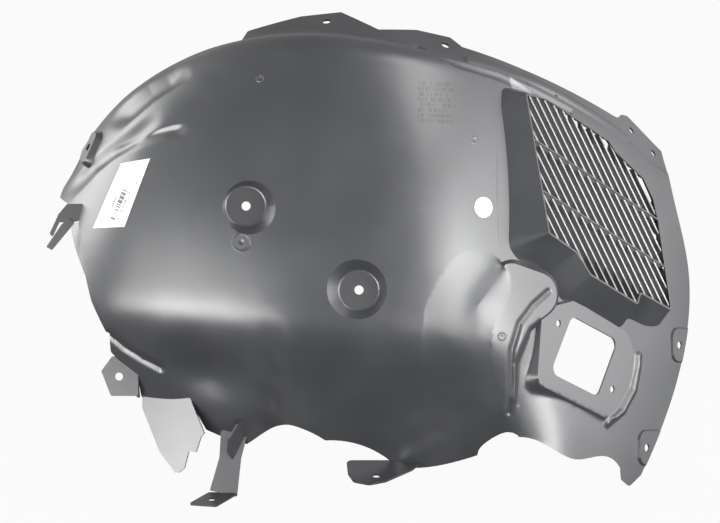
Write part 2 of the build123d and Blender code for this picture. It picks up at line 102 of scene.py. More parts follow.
@dataclass(frozen=True)
class PhotoView:
    """Camera that looks square on the mould plane."""

    aim: tuple[float, float] = (69.0, -16.2)
    distance: float = 2200.0
    mm_per_pixel: float = 1.2
    sensor: float = 36.0
    far: float = 50.0

    def build(self) -> bpy.types.Object:
        """Make the camera and set it as the scene's.

        Returns:
            The camera object.
        """
        data = bpy.data.cameras.new("photo_view")
        data.sensor_width = self.sensor
        data.lens = self.sensor * self.distance / (IMAGE[0] * self.mm_per_pixel)
        data.clip_end = self.far
        camera = bpy.data.objects.new("photo_view", data)
        camera.location = AXES.place(*self.aim, self.distance)
        camera.rotation_euler = AXES.turn(0, 0, 1).to_track_quat("Z", "Y").to_euler()
        bpy.context.scene.collection.objects.link(camera)
        bpy.context.scene.camera = camera
        return camera


class Graph:
    """Short ways to place and join shader nodes in one tree."""

    def __init__(self, tree: bpy.types.NodeTree) -> None:
        """Keep the tree that nodes go into."""
        self.tree = tree

    def node(self, kind: str, **settings: object) -> bpy.types.Node:
        """Add a node and set its properties.

        Args:
            kind: Blender's node type name.
            settings: node properties by name.

        Returns:
            The new node.
        """
        made = self.tree.nodes.new(kind)
        for name, value in settings.items():
            setattr(made, name, value)
        return made

    def feed(self, socket: bpy.types.NodeSocket, value: object) -> None:
        """Join an output to a socket, or set the socket's own value."""
        if isinstance(value, bpy.types.NodeSocket):
            self.tree.links.new(value, socket)
        else:
            socket.default_value = value

    def math(self, operation: str, first: object, second: object = 0.0,
             third: object = 0.0) -> bpy.types.NodeSocket:
        """Work out a value from up to three others.

        Args:
            operation: name of the math operation.
            first: first value or output.
            second: second value or output.
            third: third value or output.

        Returns:
            The result's output.
        """
        made = self.node("ShaderNodeMath", operation=operation)
        for socket, value in zip(made.inputs, (first, second, third)):
            self.feed(socket, value)
        return made.outputs[0]

    def dot(self, vector: object, direction: Vector) -> bpy.types.NodeSocket:
        """Give how far a vector reaches along a direction."""
        made = self.node("ShaderNodeVectorMath", operation="DOT_PRODUCT")
        self.feed(made.inputs[0], vector)
        made.inputs[1].default_value = tuple(direction)
        return made.outputs["Value"]

    def reach(self, where: object, direction: Vector, origin: Vector) -> bpy.types.NodeSocket:
        """Give the millimetres from an origin along a direction.

        Args:
            where: coordinates in metres.
            direction: unit direction in the world.
            origin: world place, in metres, where the count starts.

        Returns:
            The distance's output.
        """
        return self.math("MULTIPLY_ADD", self.dot(where, direction), 1 / MM, -origin.dot(direction) / MM)

    def noise(self, vector: object, scale: object, detail: float) -> bpy.types.NodeSocket:
        """Give a soft random value over space.

        Args:
            vector: coordinates.
            scale: cells per unit.
            detail: number of finer layers.

        Returns:
            The noise value's output.
        """
        made = self.node("ShaderNodeTexNoise")
        self.feed(made.inputs["Vector"], vector)
        self.feed(made.inputs["Scale"], scale)
        made.inputs["Detail"].default_value = detail
        return made.outputs["Fac"]

    def band(self, value: object, low: object, high: object) -> bpy.types.NodeSocket:
        """Give a smooth step from 0 to 1 as a value goes from low to high."""
        made = self.node("ShaderNodeMapRange", interpolation_type="SMOOTHSTEP")
        self.feed(made.inputs["Value"], value)
        self.feed(made.inputs["From Min"], low)
        self.feed(made.inputs["From Max"], high)
        return made.outputs["Result"]

    def mix(self, factor: object, first: object, second: object) -> bpy.types.NodeSocket:
        """Mix two colours by a factor."""
        made = self.node("ShaderNodeMix", data_type="RGBA")
        self.feed(made.inputs[0], factor)
        self.feed(made.inputs[6], first)
        self.feed(made.inputs[7], second)
        return made.outputs[2]

    def stretch(self, vector: object, turn: tuple[float, float, float],
                scale: tuple[float, float, float]) -> bpy.types.NodeSocket:
        """Turn and stretch coordinates, angles in degrees."""
        made = self.node("ShaderNodeMapping")
        self.feed(made.inputs["Vector"], vector)
        made.inputs["Rotation"].default_value = tuple(math.radians(a) for a in turn)
        made.inputs["Scale"].default_value = scale
        return made.outputs["Vector"]

    def bump(self, height: object, millimetres: float, strength: float) -> bpy.types.NodeSocket:
        """Give the normal of a surface that is roughened by a height.

        Args:
            height: height from 0 to 1.
            millimetres: size of a full height.
            strength: share of the effect.

        Returns:
            The normal's output.
        """
        made = self.node("ShaderNodeBump")
        made.inputs["Strength"].default_value = strength
        made.inputs["Distance"].default_value = millimetres * MM
        self.feed(made.inputs["Height"], height)
        return made.outputs["Normal"]


class EffectGroup:
    """A shader node group with named inputs and outputs, built once."""

    name = "effect"
    inputs: tuple[tuple[str, str, object], ...] = ()
    outputs: tuple[tuple[str, str], ...] = ()

    def tree(self) -> bpy.types.NodeTree:
        """Give the group's tree, made on first use.

        Returns:
            The shader node tree.
        """
        found = bpy.data.node_groups.get(self.name)
        if found:
            return found
        tree = bpy.data.node_groups.new(self.name, "ShaderNodeTree")
        for title, kind, default in self.inputs:
            socket = tree.interface.new_socket(title, in_out="INPUT", socket_type=kind)
            if default is not None:
                socket.default_value = default
        for title, kind in self.outputs:
            tree.interface.new_socket(title, in_out="OUTPUT", socket_type=kind)
        graph = Graph(tree)
        start = graph.node("NodeGroupInput")
        end = graph.node("NodeGroupOutput")
        for title, value in self.wire(graph, start.outputs).items():
            graph.feed(end.inputs[title], value)
        return tree

    def wire(self, graph: Graph, given: bpy.types.NodeOutputs) -> dict[str, object]:
        """Build the inside of the group and give each output's source."""
        raise NotImplementedError

    def place(self, graph: Graph, **values: object) -> bpy.types.NodeOutputs:
        """Place the group in a material.

        Args:
            graph: the material's graph.
            values: input values by name.

        Returns:
            The placed node's outputs.
        """
        made = graph.node("ShaderNodeGroup", node_tree=self.tree())
        for title, value in values.items():
            graph.feed(made.inputs[title], value)
        return made.outputs


class Grain(EffectGroup):
    """Fine moulded or paper grain with soft patches of shine."""

    name = "surface_grain"
    inputs = (("Coordinates", "NodeSocketVector", None), ("Size", "NodeSocketFloat", 900.0),
              ("Patch", "NodeSocketFloat", 9.0))
    outputs = (("Height", "NodeSocketFloat"), ("Patches", "NodeSocketFloat"))
    fine_layers = 2.0
    broad_layers = 4.0

    def wire(self, graph: Graph, given: bpy.types.NodeOutputs) -> dict[str, object]:
        """Build fine noise for the height and broad noise for the patches."""
        fine = graph.noise(given["Coordinates"], given["Size"], self.fine_layers)
        broad = graph.noise(given["Coordinates"], given["Patch"], self.broad_layers)
        return {"Height": fine, "Patches": broad}


class Scuffs(EffectGroup):
    """Thin pale scratches that run one way, broken into short strokes."""

    name = "scuffs"
    inputs = (("Coordinates", "NodeSocketVector", None), ("Amount", "NodeSocketFloat", 0.5))
    outputs = (("Mask", "NodeSocketFloat"),)
    lean_deg = (0.0, 38.0, 0.0)
    stroke_scale = (14.0, 14.0, 420.0)
    stroke_layers = 1.0
    stroke_peaks = (0.66, 0.72)
    break_scale = 11.0
    break_layers = 3.0
    break_peaks = (0.56, 0.66)

    def wire(self, graph: Graph, given: bpy.types.NodeOutputs) -> dict[str, object]:
        """Build stretched noise cut to its peaks and broken by a coarser noise."""
        along = graph.stretch(given["Coordinates"], self.lean_deg, self.stroke_scale)
        strokes = graph.band(graph.noise(along, 1.0, self.stroke_layers), *self.stroke_peaks)
        coarse = graph.noise(given["Coordinates"], self.break_scale, self.break_layers)
        breaks = graph.band(coarse, *self.break_peaks)
        both = graph.math("MULTIPLY", strokes, breaks)
        return {"Mask": graph.math("MULTIPLY", both, given["Amount"])}


class PrintRow(EffectGroup):
    """A row of short bars: plain marks in place of words."""

    name = "print_row"
    inputs = (("Along", "NodeSocketFloat", 0.0), ("Across", "NodeSocketFloat", 0.0),
              ("Start", "NodeSocketFloat", 0.0), ("End", "NodeSocketFloat", 1.0),
              ("Middle", "NodeSocketFloat", 0.0), ("Half", "NodeSocketFloat", 1.0),
              ("Module", "NodeSocketFloat", 1.0), ("Share", "NodeSocketFloat", 0.5))
    outputs = (("Mask", "NodeSocketFloat"),)
    row_seed = 7.31

    def wire(self, graph: Graph, given: bpy.types.NodeOutputs) -> dict[str, object]:
        """Build steps along the row that are dark at random, inside its bounds."""
        cell = graph.math("FLOOR", graph.math("DIVIDE", given["Along"], given["Module"]))
        chance = graph.node("ShaderNodeTexWhiteNoise", noise_dimensions="1D")
        seed = graph.math("MULTIPLY", given["Middle"], self.row_seed)
        graph.feed(chance.inputs["W"], graph.math("ADD", cell, seed))
        dark = graph.math("LESS_THAN", chance.outputs["Value"], given["Share"])
        after = graph.math("GREATER_THAN", given["Along"], given["Start"])
        before = graph.math("LESS_THAN", given["Along"], given["End"])
        off = graph.math("ABSOLUTE", graph.math("SUBTRACT", given["Across"], given["Middle"]))
        inside = graph.math("LESS_THAN", off, given["Half"])
        ends = graph.math("MULTIPLY", after, before)
        return {"Mask": graph.math("MULTIPLY", graph.math("MULTIPLY", ends, inside), dark)}


@dataclass(frozen=True)
class MarkRow:
    """Where one row of plain marks lies, in millimetres, and how dense it is."""

    start: float
    end: float
    middle: float
    half: float
    module: float
    share: float

    def place(self, graph: Graph, along: object, across: object) -> bpy.types.NodeSocket:
        """Place the row in a material.

        Args:
            graph: the material's graph.
            along: millimetres along the row.
            across: millimetres across it.

        Returns:
            The row's mask.
        """
        return PrintRow().place(
            graph, Along=along, Across=across, Start=self.start, End=self.end, Middle=self.middle,
            Half=self.half, Module=self.module, Share=self.share)["Mask"]


def new_material(name: str) -> tuple[bpy.types.Material, Graph, bpy.types.Node]:
    """Start a node material with one shader.

    Args:
        name: the material's name.

    Returns:
        The material, its graph and its shader node.
    """
    material = bpy.data.materials.new(name)
    material.use_nodes = True
    material.node_tree.nodes.clear()
    graph = Graph(material.node_tree)
    shader = graph.node("ShaderNodeBsdfPrincipled")
    output = graph.node("ShaderNodeOutputMaterial")
    graph.feed(output.inputs["Surface"], shader.outputs["BSDF"])
    return material, graph, shader


@dataclass(frozen=True)
class MouldedPlastic:
    """Charcoal satin polypropylene with light scuffs, a block of raised marks darkened by painted shade,
    and painted light that makes the grille blades paler.
    """

    colour: Colour = (0.022, 0.023, 0.0255, 1.0)
    pale: Colour = (0.031, 0.032, 0.035, 1.0)
    scuff: Colour = (0.10, 0.10, 0.105, 1.0)
    smooth: float = 0.30
    dull: float = 0.42
    ior: float = 1.7
    grain_size: float = 1100.0
    grain_mm: float = 0.06
    grain_strength: float = 0.25
    patch_size: float = 8.0
    patch_span: tuple[float, float] = (0.35, 0.7)
    scuffs_at: tuple[float, float] = (35.0, -45.0)
    scuffs_reach: tuple[float, float] = (70.0, 190.0)
    scuffs_share: float = 0.5
    scuffs_dull: float = 0.2
    # Painted shade: near-black colour of the raised marks, standing in for the shade of their relief.
    marks_painted_shade: Colour = (0.001, 0.001, 0.001, 1.0)
    marks_at: tuple[float, float] = (139.0, 151.0)
    marks_size: tuple[float, float] = (47.0, 53.0)
    marks_rows: int = 8
    marks_ragged: float = 5.0
    marks_half: float = 0.36
    marks_module: float = 1.6
    marks_share: float = 0.55
    marks_mm: float = 0.35
    # Painted light: the blades' pale colour stands in for the light they catch, not for a paler plastic.
    blade_painted_light: Colour = (0.17, 0.172, 0.176, 1.0)
    slot_front: tuple[float, float] = (-0.8, -2.0)
    slot_sides: tuple[tuple[float, float, float], ...] = (
        (0.812, 0.584, 114.0), (0.964, 0.266, 126.0), (0.169, 0.986, 87.0), (-0.949, -0.316, 124.0),
        (0.0, -1.0, 87.0),
    )
    slot_soft: float = 4.0

    def handled(self, graph: Graph, where: object) -> bpy.types.NodeSocket:
        """Give how much each place is scuffed, most about the middle of the cheek.

        Args:
            graph: the material's graph.
            where: coordinates in metres.

        Returns:
            The amount's output.
        """
        origin = AXES.place(*self.scuffs_at, 0)
        along = graph.reach(where, AXES.turn(1, 0, 0), origin)
        across = graph.reach(where, AXES.turn(0, 1, 0), origin)
        square = graph.math("MULTIPLY_ADD", along, along, graph.math("MULTIPLY", across, across))
        near = graph.band(graph.math("SQRT", square), self.scuffs_reach[1], self.scuffs_reach[0])
        return graph.math("MULTIPLY", near, self.scuffs_share)

    def marks(self, graph: Graph, where: object) -> bpy.types.NodeSocket:
        """Give the mask of the block of plain raised marks.

        Args:
            graph: the material's graph.
            where: coordinates in metres.

        Returns:
            The mask's output.
        """
        origin = AXES.place(*self.marks_at, 0)
        along = graph.reach(where, AXES.turn(1, 0, 0), origin)
        across = graph.reach(where, AXES.turn(0, 1, 0), origin)
        pitch = self.marks_size[1] / self.marks_rows
        mask = 0.0
        for i in range(self.marks_rows):
            end = self.marks_size[0] - self.marks_ragged * (i % 3)
            row = MarkRow(0.0, end, (i + 0.5) * pitch, self.marks_half * pitch,
                          self.marks_module, self.marks_share)
            mask = graph.math("MAXIMUM", mask, row.place(graph, along, across))
        return mask

    def painted_light_on_blades(self, graph: Graph, where: object) -> bpy.types.NodeSocket:
        """Give the mask of the grille's slots, where painted light makes the blades paler behind their
        front edges.

        Args:
            graph: the material's graph.
            where: coordinates in metres.

        Returns:
            The mask's output.
        """
        blades = Blades()
        origin = AXES.place(*blades.origin)
        out = AXES.turn(*(blades.mouth @ Vector((0, 0, 1))))
        mask = graph.band(graph.reach(where, out, origin), *self.slot_front)
        for x, y, limit in self.slot_sides:
            off = graph.reach(where, AXES.turn(*(blades.mouth @ Vector((x, y, 0)))), origin)
            mask = graph.math("MULTIPLY", mask, graph.band(off, limit, limit - self.slot_soft))
        return mask

    def build(self) -> bpy.types.Material:
        """Make the material.

        Returns:
            The plastic material.
        """
        material, graph, shader = new_material("moulded_plastic")
        where = graph.node("ShaderNodeTexCoord").outputs["Object"]
        grain = Grain().place(graph, Coordinates=where, Size=self.grain_size, Patch=self.patch_size)
        scuffs = Scuffs().place(graph, Coordinates=where, Amount=self.handled(graph, where))
        marks = self.marks(graph, where)
        base = graph.mix(graph.band(grain["Patches"], *self.patch_span), self.colour, self.pale)
        # Painted shade: the raised marks get a near-black colour in place of the shade of their relief.
        marked = graph.mix(marks, graph.mix(scuffs["Mask"], base, self.scuff), self.marks_painted_shade)
        # Painted light: the blades within the slots get a paler colour in place of the light they catch.
        painted_light_slots = self.painted_light_on_blades(graph, where)
        graph.feed(shader.inputs["Base Color"], graph.mix(painted_light_slots, marked, self.blade_painted_light))
        patch = graph.math("MULTIPLY_ADD", grain["Patches"], self.dull - self.smooth, self.smooth)
        dulled = graph.math("MULTIPLY_ADD", scuffs["Mask"], self.scuffs_dull, patch)
        graph.feed(shader.inputs["Roughness"], dulled)
        height = graph.math("MULTIPLY_ADD", marks, self.marks_mm / self.grain_mm, grain["Height"])
        graph.feed(shader.inputs["Normal"], graph.bump(height, self.grain_mm, self.grain_strength))
        shader.inputs["IOR"].default_value = self.ior
        return material


@dataclass(frozen=True)
class StockLabel:
    """White paper label with rows of plain marks along its length."""

    paper: Colour = (0.70, 0.70, 0.695, 1.0)
    worn: Colour = (0.55, 0.55, 0.545, 1.0)
    ink: Colour = (0.10, 0.10, 0.105, 1.0)
    corner: tuple[float, float, float] = (-261.0, 25.0, 0.0)
    along: tuple[float, float] = (0.42, 0.907)
    rows: tuple[MarkRow, ...] = (
        MarkRow(14.0, 60.0, 13.0, 0.8, 3.4, 0.3),
        MarkRow(18.0, 64.0, 20.0, 3.3, 0.9, 0.5),
        MarkRow(22.0, 60.0, 26.5, 0.8, 2.6, 0.4),
        MarkRow(70.0, 88.0, 30.0, 0.7, 2.2, 0.4),
    )
    wear: float = 0.12
    fibre_size: float = 1600.0
    fibre_mm: float = 0.05
    fibre_strength: float = 0.15
    patch_size: float = 30.0
    smooth: float = 0.42
    patchy: float = 0.1

    def build(self) -> bpy.types.Material:
        """Make the material.

        Returns:
            The printed label material.
        """
        material, graph, shader = new_material("printed_label")
        where = graph.node("ShaderNodeTexCoord").outputs["Object"]
        grain = Grain().place(graph, Coordinates=where, Size=self.fibre_size, Patch=self.patch_size)
        origin = AXES.place(*self.corner)
        run = graph.reach(where, AXES.turn(self.along[0], self.along[1], 0), origin)
        reach = graph.reach(where, AXES.turn(self.along[1], -self.along[0], 0), origin)
        marks = 0.0
        for row in self.rows:
            marks = graph.math("MAXIMUM", marks, row.place(graph, run, reach))
        paper = graph.mix(graph.math("MULTIPLY", grain["Patches"], self.wear), self.paper, self.worn)
        graph.feed(shader.inputs["Base Color"], graph.mix(marks, paper, self.ink))
        dull = graph.math("MULTIPLY_ADD", grain["Patches"], self.patchy, self.smooth)
        graph.feed(shader.inputs["Roughness"], dull)
        graph.feed(shader.inputs["Normal"], graph.bump(grain["Height"], self.fibre_mm, self.fibre_strength))
        return material


@dataclass(frozen=True)
class RoundSticker:
    """Plain white paper sticker, a little soiled."""

    paper: Colour = (0.70, 0.70, 0.70, 1.0)
    soiled: Colour = (0.42, 0.42, 0.415, 1.0)
    soil_span: tuple[float, float] = (0.5, 0.75)
    soil_share: float = 0.5
    fibre_size: float = 1600.0
    fibre_mm: float = 0.05
    fibre_strength: float = 0.15
    patch_size: float = 110.0
    smooth: float = 0.45
    patchy: float = 0.1

    def build(self) -> bpy.types.Material:
        """Make the material.

        Returns:
            The sticker material.
        """
        material, graph, shader = new_material("plain_sticker")
        where = graph.node("ShaderNodeTexCoord").outputs["Object"]
        grain = Grain().place(graph, Coordinates=where, Size=self.fibre_size, Patch=self.patch_size)
        soil = graph.math("MULTIPLY", graph.band(grain["Patches"], *self.soil_span), self.soil_share)
        graph.feed(shader.inputs["Base Color"], graph.mix(soil, self.paper, self.soiled))
        dull = graph.math("MULTIPLY_ADD", grain["Patches"], self.patchy, self.smooth)
        graph.feed(shader.inputs["Roughness"], dull)
        graph.feed(shader.inputs["Normal"], graph.bump(grain["Height"], self.fibre_mm, self.fibre_strength))
        return material


def ease(share: float) -> float:
    """Give a share from 0 to 1 with its ends eased."""
    return share * share * (3 - 2 * share)


class Sense(Enum):
    """Which way a relief is pressed."""

    OUT = 1.0
    IN = -1.0


class Profile(Enum):
    """Shape of a relief across its width."""

    ROUND = "round"
    CREASE = "crease"

    def share(self, off: float) -> float:
        """Give the share of the full height at a share of the half width."""
        if self is Profile.ROUND:
            return (1 - off * off) ** 2
        return (1 - off) ** 2 * (1 + off)


@dataclass(frozen=True)
class Bead:
    """A bead or groove pressed along a line that is drawn on the mould plane, in millimetres."""

    line: tuple[tuple[float, float], ...]
    half: float
    height: float
    sense: Sense = Sense.OUT
    profile: Profile = Profile.ROUND
    direction: tuple[float, float, float] = (0.0, 0.0, 1.0)
    depths: tuple[float, float] = (-500.0, 200.0)
    edge: float = 4.0
    fade: float = 0.0

    @cached_property
    def window(self) -> tuple[float, float, float, float]:
        """Least and greatest u, then v, that the relief touches."""
        us = [point[0] for point in self.line]
        vs = [point[1] for point in self.line]
        return min(us) - self.half, max(us) + self.half, min(vs) - self.half, max(vs) + self.half

    def near(self, u: float, v: float, w: float) -> bool:
        """Tell whether a place may be touched by the relief."""
        low_u, high_u, low_v, high_v = self.window
        if not (low_u < u < high_u and low_v < v < high_v):
            return False
        return self.depths[0] < w < self.depths[1] and self.nearest(u, v)[0] < self.half

    def nearest(self, u: float, v: float) -> tuple[float, float]:
        """Give the distance of a place from the line, and how far it lies from the line's nearer end."""
        best, along, run = math.inf, 0.0, 0.0
        for (au, av), (bu, bv) in zip(self.line, self.line[1:]):
            du, dv = bu - au, bv - av
            length = math.hypot(du, dv)
            t = min(1.0, max(0.0, ((u - au) * du + (v - av) * dv) / (length * length)))
            off = math.hypot(u - au - t * du, v - av - t * dv)
            if off < best:
                best, along = off, run + t * length
            run += length
        return best, min(along, run - along)

    def shift(self, u: float, v: float) -> Vector:
        """Give the move of a place, in millimetres of the mould axes."""
        off, inward = self.nearest(u, v)
        share = self.profile.share(min(1.0, off / self.half))
        if self.fade:
            share *= ease(min(1.0, inward / self.fade))
        return Vector(self.direction) * (self.sense.value * self.height * share)


@dataclass(frozen=True)
class GateMark:
    """A round moulding mark: a fine ring about a small pit."""

    centre: tuple[float, float]
    radius: float
    half: float = 1.8
    height: float = 0.9
    edge: float = 1.2
    pit_reach: float = 0.35
    pit_depth: float = 1.4

    def near(self, u: float, v: float, w: float) -> bool:
        """Tell whether a place is touched by the mark."""
        return math.hypot(u - self.centre[0], v - self.centre[1]) < self.radius + self.half

    def shift(self, u: float, v: float) -> Vector:
        """Give the move of a place, in millimetres of the mould axes."""
        away = math.hypot(u - self.centre[0], v - self.centre[1])
        ring = max(0.0, 1 - abs(away - self.radius) / self.half)
        pit = max(0.0, 1 - away / (self.pit_reach * self.radius))
        return Vector((0, 0, self.height * (ease(ring) - self.pit_depth * pit)))


Relief = Bead | GateMark


@dataclass(frozen=True)
class SoftZone:
    """A strip along a line of the mould plane where steps of the moulding run out softly."""

    track: Bead
    passes: int
    factor: float = 0.5


@dataclass(frozen=True)
class Blades:
    """The grille's blades, carried back to one depth so that hardly any daylight shows between them."""

    origin: tuple[float, float, float] = (380.0, 60.0, -158.0)
    along: tuple[float, float, float] = (0.677, -0.356, -0.644)
    out: tuple[float, float, float] = (0.732, 0.231, 0.641)
    outline: tuple[tuple[float, float], ...] = (
        (-158, 80), (-102, -84), (-48, -88), (-16, -107), (82, -109), (88, -91), (155, -89),
        (127, 25), (115, 53), (91, 75), (27, 86), (11, 95), (-119, 95),
    )
    turn_deg: float = -42.0
    lean_deg: float = 38.0
    facing: float = 0.5
    depth: float = 19.5

    @cached_property
    def mouth(self) -> Matrix:
        """Rotation from the mouth's axes to the mould's."""
        out = Vector(self.out).normalized()
        across = out.cross(Vector(self.along)).normalized()
        return Matrix((across.cross(out), across, out)).transposed()

    @cached_property
    def backward(self) -> Vector:
        """Direction, in the mouth's axes, in which a blade runs back."""
        turn = Matrix.Rotation(math.radians(self.turn_deg), 3, "Z")
        lean = Matrix.Rotation(math.radians(self.lean_deg), 3, "X")
        return turn @ lean @ Vector((0, 0, -1))

    def inside(self, x: float, y: float) -> bool:
        """Tell whether a place of the mouth's plane lies within its outline."""
        within = False
        for (ax, ay), (bx, by) in zip(self.outline, self.outline[1:] + self.outline[:1]):
            if (ay > y) != (by > y) and x < ax + (y - ay) * (bx - ax) / (by - ay):
                within = not within
        return within

    def read(self, point: Vector) -> Vector:
        """Give a world place in the millimetres of the mouth's axes."""
        return self.mouth.transposed() @ (AXES.read(point) - Vector(self.origin))

    def deepen(self, mesh: bmesh.types.BMesh) -> None:
        """Move the rear edges of the blades back along the blades to the full depth."""
        back = AXES.turn(*(self.mouth @ self.backward))
        edges = set()
        for face in mesh.faces:
            if face.normal.dot(back) < self.facing:
                continue
            x, y, z = self.read(face.calc_center_median())
            if -self.depth < z < 0 and self.inside(x, y):
                edges.update(face.verts)
        for vertex in edges:
            short = self.depth + self.read(vertex.co).z
            vertex.co += back * (short / -self.backward.z) * MM
        LOG.info("blades: %d rear corners moved", len(edges))


@dataclass
class LinerSkin:
    """The whole moulding: the CAD shell with the fine reliefs pressed into it."""

    node: str = "liner"
    rounds: int = 7
    shortest: float = 1.2
    merge: float = 0.01
    reliefs: tuple[Relief, ...] = field(default_factory=tuple)
    zones: tuple[SoftZone, ...] = field(default_factory=tuple)
    blades: Blades = Blades()

    def start(self) -> bmesh.types.BMesh:
        """Copy the CAD mesh with its exact normals kept on the face corners.

        Returns:
            The merged copy.
        """
        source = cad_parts[self.node].data
        normals = source.corner_normals
        mesh = bmesh.new()
        mesh.from_mesh(source)
        layer = mesh.loops.layers.float_vector.new("exact")
        for polygon, face in zip(source.polygons, mesh.faces):
            for step, loop in enumerate(face.loops):
                loop[layer] = normals[polygon.loop_start + step].vector
        bmesh.ops.remove_doubles(mesh, verts=mesh.verts, dist=self.merge * MM)
        return mesh

    def soften(self, mesh: bmesh.types.BMesh) -> None:
        """Let the steps in each soft zone run out, and take the normals there from the new surface."""
        tracks = tuple(zone.track for zone in self.zones)
        self.refine(mesh, tracks)
        layer = mesh.loops.layers.float_vector["exact"]
        for zone in self.zones:
            inside = [vertex for vertex in mesh.verts if zone.track.near(*AXES.read(vertex.co))]
            for _ in range(zone.passes):
                bmesh.ops.smooth_vert(mesh, verts=inside, factor=zone.factor,
                                      use_axis_x=True, use_axis_y=True, use_axis_z=True)
            mesh.normal_update()
            for vertex in inside:
                for loop in vertex.link_loops:
                    loop[layer] = vertex.normal

    def touching(self, u: float, v: float, w: float) -> list[Relief]:
        """List the reliefs that touch a place."""
        return [relief for relief in self.reliefs if relief.near(u, v, w)]

    def refine(self, mesh: bmesh.types.BMesh, reliefs: tuple[Relief, ...]) -> None:
        """Split long edges where a relief needs them shorter.

        Args:
            mesh: the moulding.
            reliefs: the reliefs to make room for.
        """
        for _ in range(self.rounds):
            long_edges = []
            for edge in mesh.edges:
                length = edge.calc_length() / MM
                if length > self.shortest and self.wants_split(edge, length, reliefs):
                    long_edges.append(edge)
            if not long_edges:
                return
            bmesh.ops.subdivide_edges(mesh, edges=long_edges, cuts=1)
            bmesh.ops.triangulate(mesh, faces=[face for face in mesh.faces if len(face.verts) > 3])

    def wants_split(self, edge: bmesh.types.BMEdge, length: float, reliefs: tuple[Relief, ...]) -> bool:
        """Tell whether an edge is too long for a relief at its ends or its middle.

        Args:
            edge: the edge.
            length: its length in millimetres.
            reliefs: the reliefs to make room for.

        Returns:
            True where it should be split.
        """
        first, last = (AXES.read(vertex.co) for vertex in edge.verts)
        for place in ((first + last) / 2, first, last):
            if any(length > relief.edge and relief.near(*place) for relief in reliefs):
                return True
        return False

    def press(self, mesh: bmesh.types.BMesh) -> None:
        """Move each vertex by the reliefs there and turn its normals with the surface."""
        layer = mesh.loops.layers.float_vector["exact"]
        for vertex in mesh.verts:
            u, v, w = AXES.read(vertex.co)
            touched = self.touching(u, v, w)
            if not touched:
                continue
            vertex.co += AXES.place(*sum((relief.shift(u, v) for relief in touched), Vector()))
            swing = self.swing(touched, u, v)
            for loop in vertex.link_loops:
                loop[layer] = AXES.turn(*(swing @ AXES.back(loop[layer]))).normalized()

    def swing(self, touched: list[Relief], u: float, v: float, step: float = 0.25) -> Matrix:
        """Give the matrix that turns normals as the reliefs turn the surface.

        Args:
            touched: reliefs at the place.
            u: its place along the mould.
            v: its place up the mould.
            step: half span of the slopes, in millimetres.

        Returns:
            The matrix for normals in mould axes.
        """
        by_u, by_v = Vector(), Vector()
        for relief in touched:
            by_u += (relief.shift(u + step, v) - relief.shift(u - step, v)) / (2 * step)
            by_v += (relief.shift(u, v + step) - relief.shift(u, v - step)) / (2 * step)
        rows = [(by_u[i] + (i == 0), by_v[i] + (i == 1), float(i == 2)) for i in range(3)]
        return Matrix(rows).inverted_safe().transposed()

    def build(self, material: bpy.types.Material) -> bpy.types.Object:
        """Make the moulding.

        Args:
            material: the plastic.

        Returns:
            The piece that stands for the CAD node.
        """
        mesh = self.start()
        self.blades.deepen(mesh)
        self.soften(mesh)
        self.refine(mesh, self.reliefs)
        self.press(mesh)
        data = bpy.data.meshes.new("liner_skin")
        mesh.to_mesh(data)
        mesh.free()
        data.shade_smooth()
        exact = data.attributes["exact"]
        data.normals_split_custom_set([tuple(item.vector) for item in exact.data])
        data.attributes.remove(data.attributes["exact"])
        data.materials.clear()
        data.materials.append(material)
        piece = bpy.data.objects.new("liner_skin", data)
        bpy.context.scene.collection.objects.link(piece)
        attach(piece, BODY)
        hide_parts(self.node)
        LOG.info("%s: %d faces", piece.name, len(data.polygons))
        return piece


@dataclass
class Papers:
    """The two papers stuck on the cheek, kept as their CAD nodes."""

    nodes: tuple[str, str] = ("label", "sticker")

    def dress(self, label: bpy.types.Material, sticker: bpy.types.Material) -> None:
        """Give each paper its material.

        Args:
            label: material of the printed label.
            sticker: material of the round sticker.
        """
        for name, material in zip(self.nodes, (label, sticker)):
            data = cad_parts[name].data
            data.materials.clear()
            data.materials.append(material)
            LOG.info("%s: dressed", name)


@dataclass(frozen=True)
class SoftBox:
    """A studio light, width by height, that looks at the cheek from a direction of the mould axes."""

    name: str
    direction: tuple[float, float, float]
    distance: float
    size: tuple[float, float]
    power: float
    aim: tuple[float, float, float] = (80.0, 0.0, -60.0)

    def build(self) -> bpy.types.Object:
        """Make the light.

        Returns:
            The light object.
        """
        data = bpy.data.lights.new(self.name, "AREA")
        data.shape = "RECTANGLE"
        data.size, data.size_y = self.size
        data.energy = self.power
        light = bpy.data.objects.new(self.name, data)
        away = AXES.turn(*self.direction).normalized()
        light.location = AXES.place(*self.aim) + away * self.distance
        light.rotation_euler = away.to_track_quat("Z", "Y").to_euler()
        bpy.context.scene.collection.objects.link(light)
        return light


